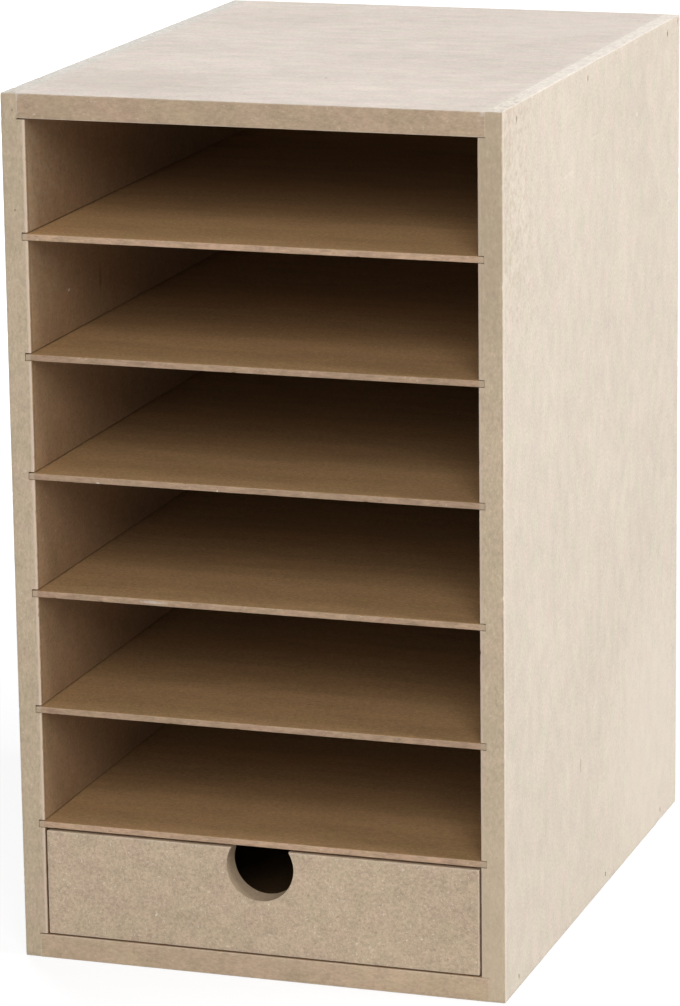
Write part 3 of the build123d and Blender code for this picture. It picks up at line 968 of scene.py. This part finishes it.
def makeBrads(name, body, nodes):
    spots = [spot for node in nodes for spot in bradSpots(node)]
    lengths = sorted({round(spot[3], 4) for spot in spots})
    parts = []
    for index, length in enumerate(lengths):
        alike = [spot for spot in spots if abs(spot[3] - length) < nearBy]
        inputs = {"Length": length, "Material": bradSteel}
        parts.append(growPiece(f"{name}{index}", bradTree, inputs, alike))
    whole = parts[0]
    if len(parts) > 1:
        joined = bmesh.new()
        for part in parts:
            joined.from_mesh(part.data)
        joined.to_mesh(whole.data)
        joined.free()
        for part in parts[1:]:
            bpy.data.objects.remove(part)
    whole.name = name
    return settle(whole, body, *nodes)


makeBrads("caseBrads", "case", ["left_side_brads", "right_side_brads", "back_panel_brads"])
makeBrads("drawerBrads", "drawer", ["drawer_left_brads", "drawer_right_brads", "drawer_bottom_brads"])
print("brads made")


# floor, light and camera
stageLook = {
    "floorSize": 30.0,
    "floorShade": 0.28,         # the part of the floor that shows the shadow to the camera
    "floorGlow": (0.78, 1.0),   # what the floor adds for the camera, near the object and far from it
    "glowReach": (0.35, 1.0),
    "floorBounce": 0.62,        # what the floor gives back to the object
    "worldStrength": 0.10, "worldColor": (0.96, 0.95, 1.12),
    "aim": (0.0, 0.0, 0.22),
    "lampAway": 3.6, "lampSize": 1.7,
    # lamps as (degrees to the right of the front, degrees up, watts)
    "lamps": {"sideLamp": (90, 25, 97.0), "frontLamp": (20, 32, 66.0), "lowLamp": (5, 8, 23.0),
              "backLamp": (215, 30, 66.0)},
    "cameraPlace": (0.69930, -2.13389, 0.75669),
    "cameraTurn": (18.4296, 13.9831, -0.7309),      # azimuth, elevation and roll, in degrees
    "lens": 163.987, "sensor": 36.0, "clip": (0.05, 60.0),
}


def throughCamera(tree):
    # 1 for rays from the camera and for those that a shiny surface sends out
    path = addNode(tree, "ShaderNodeLightPath").outputs
    seen = calc(tree, "ADD", path["Is Camera Ray"], path["Is Glossy Ray"])
    return calc(tree, "ADD", seen, path["Is Transmission Ray"], clamp=True)


def makeWorld():
    world = bpy.data.worlds.new("studio")
    tree = emptyTree(world)
    seen = throughCamera(tree)
    # pure white to the camera, and a dim cool light on the object
    light = mixColor(tree, seen, scaled(stageLook["worldColor"], stageLook["worldStrength"]), (1, 1, 1))
    background = addNode(tree, "ShaderNodeBackground", {"Color": light})
    addNode(tree, "ShaderNodeOutputWorld", {"Surface": background.outputs[0]})
    bpy.context.scene.world = world


def makeFloor():
    half = stageLook["floorSize"] / 2
    mesh = bpy.data.meshes.new("floor")
    mesh.from_pydata([(-half, -half, 0), (half, -half, 0), (half, half, 0), (-half, half, 0)], [],
                     [(0, 1, 2, 3)])
    floor = addObject("floor", mesh)
    material = bpy.data.materials.new("floorPaper")
    tree = emptyTree(material)
    shade = stageLook["floorShade"]
    seen = throughCamera(tree)
    bounce = stageLook["floorBounce"]
    plain = addNode(tree, "ShaderNodeBsdfDiffuse", {"Color": (bounce, bounce, bounce, 1)})
    faint = addNode(tree, "ShaderNodeBsdfDiffuse", {"Color": (shade, shade, shade, 1)})
    away = vecCalc(tree, "LENGTH", addNode(tree, "ShaderNodeTexCoord").outputs["Object"])
    strength = ramp(tree, away, *stageLook["glowReach"], *stageLook["floorGlow"])
    glow = addNode(tree, "ShaderNodeEmission", {"Color": (1, 1, 1, 1), "Strength": strength})
    lit = addNode(tree, "ShaderNodeAddShader", {0: faint.outputs[0], 1: glow.outputs[0]})
    mixed = addNode(tree, "ShaderNodeMixShader", {0: seen, 1: plain.outputs[0], 2: lit.outputs[0]})
    addNode(tree, "ShaderNodeOutputMaterial", {"Surface": mixed.outputs[0]})
    mesh.materials.append(material)


def addLamp(name, turn, rise, power):
    turn, rise = math.radians(turn), math.radians(rise)
    level = math.cos(rise)
    towardsLamp = Vector((math.sin(turn) * level, -math.cos(turn) * level, math.sin(rise)))
    data = bpy.data.lights.new(name, "AREA")
    data.shape, data.size, data.energy = "SQUARE", stageLook["lampSize"], power
    lamp = addObject(name, data)
    lamp.location = Vector(stageLook["aim"]) + towardsLamp * stageLook["lampAway"]
    lamp.rotation_euler = (-towardsLamp).to_track_quat("-Z", "Y").to_euler()


def makeCamera():
    azimuth, elevation, roll = [math.radians(angle) for angle in stageLook["cameraTurn"]]
    level = math.cos(elevation)
    ahead = Vector((-math.sin(azimuth) * level, math.cos(azimuth) * level, -math.sin(elevation)))
    data = bpy.data.cameras.new("photoView")
    data.lens, data.sensor_width = stageLook["lens"], stageLook["sensor"]
    data.clip_start, data.clip_end = stageLook["clip"]
    camera = addObject("photoView", data)
    camera.location = stageLook["cameraPlace"]
    camera.rotation_euler = (ahead.to_track_quat("-Z", "Y") @ Quaternion((0, 0, 1), roll)).to_euler()
    bpy.context.scene.camera = camera


makeWorld()
makeFloor()
for lampName, settings in stageLook["lamps"].items():
    addLamp(lampName, *settings)
makeCamera()
bpy.context.scene.view_settings.view_transform = "Standard"
print("stage made")
